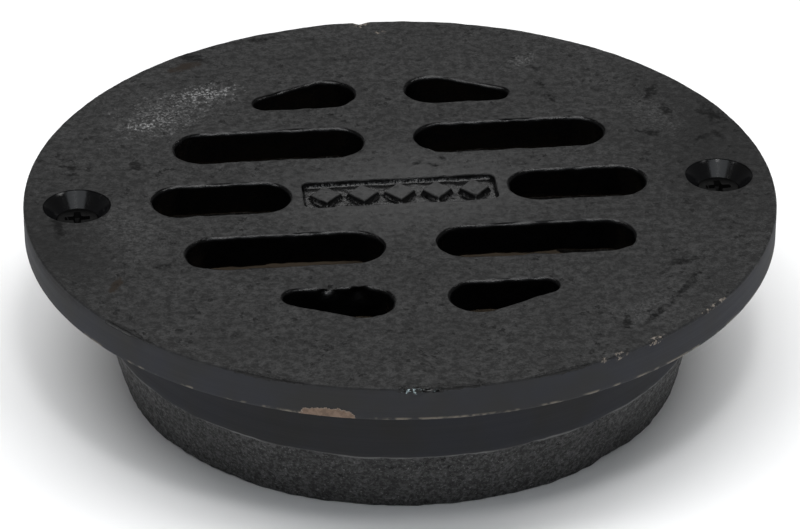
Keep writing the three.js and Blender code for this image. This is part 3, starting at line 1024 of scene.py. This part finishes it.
def iron_paint(n, peel_height, peel_size, low, high):
    """Black paint over iron: pebbly where it is cast, finely ringed where it is turned, and glossy on the
    walls that run with paint. low and high are the greys painted into the cast face's hollows and onto its
    crests: painted shade and painted light that follow the cast relief."""
    n.shader.inputs["Specular IOR Level"].default_value = SPECULAR_LEVEL
    turned, gloss = n.attribute("turned"), n.attribute("gloss")
    peel = n.noise(peel_size, 5, 0.62)
    grain = n.noise(0.5, 4, 0.7, shift=31)
    patches = n.noise(10, 4, 0.6, shift=11)
    pit_places = n.between(n.noise(6, 1, 0.5, shift=57), 0.46, 0.62)
    torn = n.math("MULTIPLY_ADD", n.math("SUBTRACT", grain, 0.5), 0.9, n.cells(2.1, shift=5))
    pits = n.math("MULTIPLY", n.between(torn, 0.26, 0.12), pit_places)
    cast = n.math("MULTIPLY_ADD", peel, peel_height, n.math("MULTIPLY", grain, peel_height * 0.85))
    cast = n.math("MULTIPLY_ADD", pits, -0.12, cast)
    rings = n.noise(1, 2, 0.6, place=n.vector("MULTIPLY", n.place, (0.03, 0.03, 7.0)))
    fine = n.math("MULTIPLY_ADD", rings, 0.006, n.math("MULTIPLY", grain, 0.008))
    run = n.math("MULTIPLY_ADD", n.noise(1.5, 2, 0.5, shift=3), 0.16, n.math("MULTIPLY", grain, 0.08))
    height = n.blend(gloss, n.blend(turned, cast, fine), n.blend(turned, run, fine))
    crests = n.math("MULTIPLY_ADD", grain, 0.45, n.math("MULTIPLY", peel, 0.55))
    # Painted shade and painted light: the colour follows the cast relief, darker in the hollows and lighter
    # on the crests.
    colour = n.mix(n.between(crests, 0.40, 0.62), low, high)
    colour = n.mix(n.between(patches, 0.35, 0.72, 0, 0.4), colour, low)
    # Painted shade: the pits are darkened nearly to black.
    colour = n.mix(n.math("MULTIPLY", pits, 0.9), colour, grey(0.002))
    turned_colour = n.mix(n.between(n.noise(16, 3, 0.6, shift=83), 0.35, 0.7), TURNED_PAINT, grey(0.0215))
    colour = n.mix(turned, colour, turned_colour)
    colour = n.mix(gloss, colour, THICK_PAINT)
    roughness = n.between(crests, 0.40, 0.64, 0.68, 0.42)
    roughness = n.blend(turned, roughness, n.between(rings, 0.3, 0.7, 0.66, 0.78))
    roughness = n.blend(gloss, roughness, n.between(grain, 0.3, 0.7, 0.10, 0.18))
    return Surface(colour, roughness, height)


def top_marks(n, surface):
    """What handling and the foundry have left on the grate's face, and broad patches of painted shade and
    painted light over it.
    """
    dry = n.between(n.attribute("gloss"), 0.4, 0.0)
    # Painted shade darkens broad patches at the sides of the face, and painted light brightens its middle.
    painted_shade_patch = n.math("MULTIPLY", n.frayed("painted_shade_patch", 0.8, 1.0), dry)
    painted_light_patch = n.math("MULTIPLY", n.frayed("painted_light_patch", 0.8, 1.0), dry)
    surface.mark(n, n.math("MULTIPLY", painted_shade_patch, 0.7), grey(0.004), 0.74)
    surface.mark(n, n.math("MULTIPLY", painted_light_patch, 0.6), grey(0.048), 0.5)
    specks = n.between(n.noise(0.55, 4, 0.75, shift=91), 0.48, 0.62)
    surface.mark(n, n.math("MULTIPLY", n.frayed("scuff", 1.4, 1.0), specks), grey(0.12), 0.5, 0.03)
    surface.mark(n, n.math("MULTIPLY", n.frayed("bright_scuff", 1.2, 0.7), specks), grey(0.24), 0.5, 0.03)
    faint = n.math("MULTIPLY", n.frayed("faint_wear", 1.4, 0.9), 0.45)
    wear = n.math("MAXIMUM", n.frayed("wear", 1.3), faint)
    surface.mark(n, n.math("MULTIPLY", wear, specks), grey(0.085), 0.5, 0.03)
    broken = n.between(n.noise(1.0, 4, 0.7, shift=47), 0.36, 0.54, 0.45, 1.0)
    surface.mark(n, n.math("MULTIPLY", n.frayed("smudge", 1.4, 0.75), broken), grey(0.001), 0.95, -0.08)
    surface.mark(n, n.frayed("stain", 1.1, 0.6), STAIN, 0.9)


def edge_marks(n, surface):
    """Chips and worn paint along the grate's upper and lower edges, with painted glints on the front chip
    and along the upper edge, and painted shade in grooves along the front edge.
    """
    streaks = n.noise(5, 3, 0.65, shift=41)
    low_edge = n.between(n.attribute("rim_foot"), 0.35, 0.75)
    surface.mark(n, n.math("MULTIPLY", low_edge, n.between(streaks, 0.47, 0.58)), BARE_EDGE, 0.5)
    loose = n.between(n.noise(0.9, 3, 0.7, shift=13), 0.50, 0.60)
    # Pale crumbs along the upper edge, which also stand as painted glints.
    surface.mark(n, n.math("MULTIPLY", n.frayed("crumbs_and_glints", 0.7), loose), grey(0.15, 0.15), 0.5, -0.06)
    # Painted shade in the shallow grooves along the front edge.
    surface.mark(n, n.frayed("gap", 0.8), grey(0.002), 0.3, -0.15)
    surface.mark(n, n.frayed("glossy_chip", 0.6), grey(0.001), 0.10)
    # Painted glint on the front chip, over its bare iron.
    surface.mark(n, n.math("MULTIPLY", n.frayed("bare_chip_and_glint", 1.2, 0.5), loose), BARE_IRON_AND_GLINT, 0.3)
    chip = n.frayed("primer_chip", 0.42, 0.12)
    rust = n.between(n.noise(1.1, 3, 0.6, shift=29), 0.40, 0.65)
    surface.mark(n, chip, n.mix(rust, PRIMER, RUST), 0.62, -0.15)
    border = n.math("MULTIPLY", n.between(chip, 0.05, 0.35), n.between(chip, 0.95, 0.60))
    surface.mark(n, border, CHIP_BORDER, 0.6)


def grate_paint():
    n = Nodes("painted_iron")
    surface = iron_paint(n, 0.26, 1.5, grey(0.007), grey(0.029))
    top_marks(n, surface)
    edge_marks(n, surface)
    return surface.finish(n)


def collar_paint():
    n = Nodes("collar_iron")
    surface = iron_paint(n, 0.26, 0.9, grey(0.020), grey(0.080))
    specks = n.between(n.noise(0.45, 3, 0.7, shift=19), 0.60, 0.68)
    surface.mark(n, n.math("MULTIPLY", specks, n.between(n.attribute("turned"), 0.5, 0.0)), grey(0.17))
    # Painted highlight: a broken lighter line along the border between the skirt and the turned band.
    border = n.between(n.attribute("border"), 0.45, 0.9)
    patchy = n.between(n.noise(14, 2, 0.5, shift=61), 0.38, 0.56, 0.25, 1.0)
    surface.mark(n, n.math("MULTIPLY", border, patchy), grey(0.17), 0.5)
    return surface.finish(n)


def screw_coating():
    n = Nodes("screw_coating")
    n.shader.inputs["Specular IOR Level"].default_value = SCREW_SPECULAR_LEVEL
    wear = n.noise(0.7, 3, 0.6)
    edges = n.between(n.noise(0.3, 2, 0.6, shift=9), 0.62, 0.75, 0, 0.5)
    colour = n.mix(edges, n.mix(wear, grey(0.001), grey(0.002)), grey(0.006))
    roughness = n.between(wear, 0.3, 0.7, 0.42, 0.54)
    height = n.math("MULTIPLY", n.noise(0.25, 2, 0.5), 0.008)
    return Surface(colour, roughness, height).finish(n)


# ---- Studio ----

# Degrees, metres and, for the lens, millimetres
CAMERA_AZIMUTH = -5.75
CAMERA_ELEVATION = 29.17
CAMERA_DISTANCE = 0.7898
CAMERA_LENS = 188.1
AIM_BELOW_TOP = 0.0162


def direction(azimuth, elevation):
    """The way out from the origin. Azimuth 0 is the front, at -Y."""
    a, e = math.radians(azimuth), math.radians(elevation)
    return Vector((math.sin(a) * math.cos(e), -math.cos(a) * math.cos(e), math.sin(e)))


def make_camera():
    data = bpy.data.cameras.new("camera")
    data.lens = CAMERA_LENS
    data.sensor_width = 36
    data.clip_start = 0.01
    camera = bpy.data.objects.new("camera", data)
    bpy.context.scene.collection.objects.link(camera)
    middle = Vector((0, 0, TOP / METRE))
    camera.location = middle + CAMERA_DISTANCE * direction(CAMERA_AZIMUTH, CAMERA_ELEVATION)
    aim = middle - Vector((0, 0, AIM_BELOW_TOP))
    camera.rotation_euler = (aim - camera.location).to_track_quat("-Z", "Y").to_euler()
    bpy.context.scene.camera = camera


def make_light(name, azimuth, elevation, distance, size, power, colour=(1, 1, 1)):
    """A soft lamp that faces the origin. distance and size are in metres and power is in watts."""
    data = bpy.data.lights.new(name, "AREA")
    data.shape = "RECTANGLE"
    data.size, data.size_y = size
    data.energy = power
    data.color = colour
    light = bpy.data.objects.new(name, data)
    bpy.context.scene.collection.objects.link(light)
    light.location = distance * direction(azimuth, elevation)
    light.rotation_euler = (-light.location).to_track_quat("-Z", "Y").to_euler()


def make_floor():
    n = Nodes("floor")
    n.shader.inputs["Roughness"].default_value = 0.9
    n.shader.inputs["Specular IOR Level"].default_value = 0.1
    pale = n.mix(n.noise(40, 2, 0.5), grey(0.86), grey(0.90))
    away = n.vector("LENGTH", n.place)
    # Painted shade: the floor under the bore is coloured dark and brown-tinted.
    under = n.mix(n.noise(6, 2, 0.5), grey(0.075, 0.28), grey(0.095, 0.28))
    n.link(n.mix(n.between(away, BORE_RADIUS, BORE_RADIUS + 1), under, pale), n.shader.inputs["Base Color"])
    bpy.ops.mesh.primitive_plane_add(size=12)
    floor = bpy.context.object
    floor.name = "floor"
    floor.data.materials.append(n.material)


def make_world():
    world = bpy.data.worlds.new("studio")
    world.use_nodes = True
    background = world.node_tree.nodes["Background"]
    background.inputs["Color"].default_value = (1, 1, 1, 1)
    background.inputs["Strength"].default_value = 0.12
    bpy.context.scene.world = world


def make_studio():
    make_camera()
    make_floor()
    make_world()
    make_light("back", 176, 33, 1.7, (1.4, 0.3), 4.2)
    make_light("top", 0, 84, 1.8, (2.6, 0.7), 38)
    make_light("front", -4, 53, 1.7, (1.7, 0.6), 6.5, (0.90, 0.95, 1.0))
    make_light("glint", 4, 64, 1.6, (0.2, 0.2), 4)
    bpy.context.scene.view_settings.view_transform = "Standard"


# ---- Assembly ----


def place(thing, material, node, slot):
    thing.data.materials.append(material)
    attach(thing, node)
    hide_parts(node)


make_studio()
place(make_grate(), grate_paint(), "grate", "painted_iron")
place(make_collar(), collar_paint(), "collar", "turned_iron")
coating = screw_coating()
for side, node in ((-1, "screw_left"), (1, "screw_right")):
    place(make_screw(node + "_threaded", side * SCREW_X), coating, node, "screw_steel")
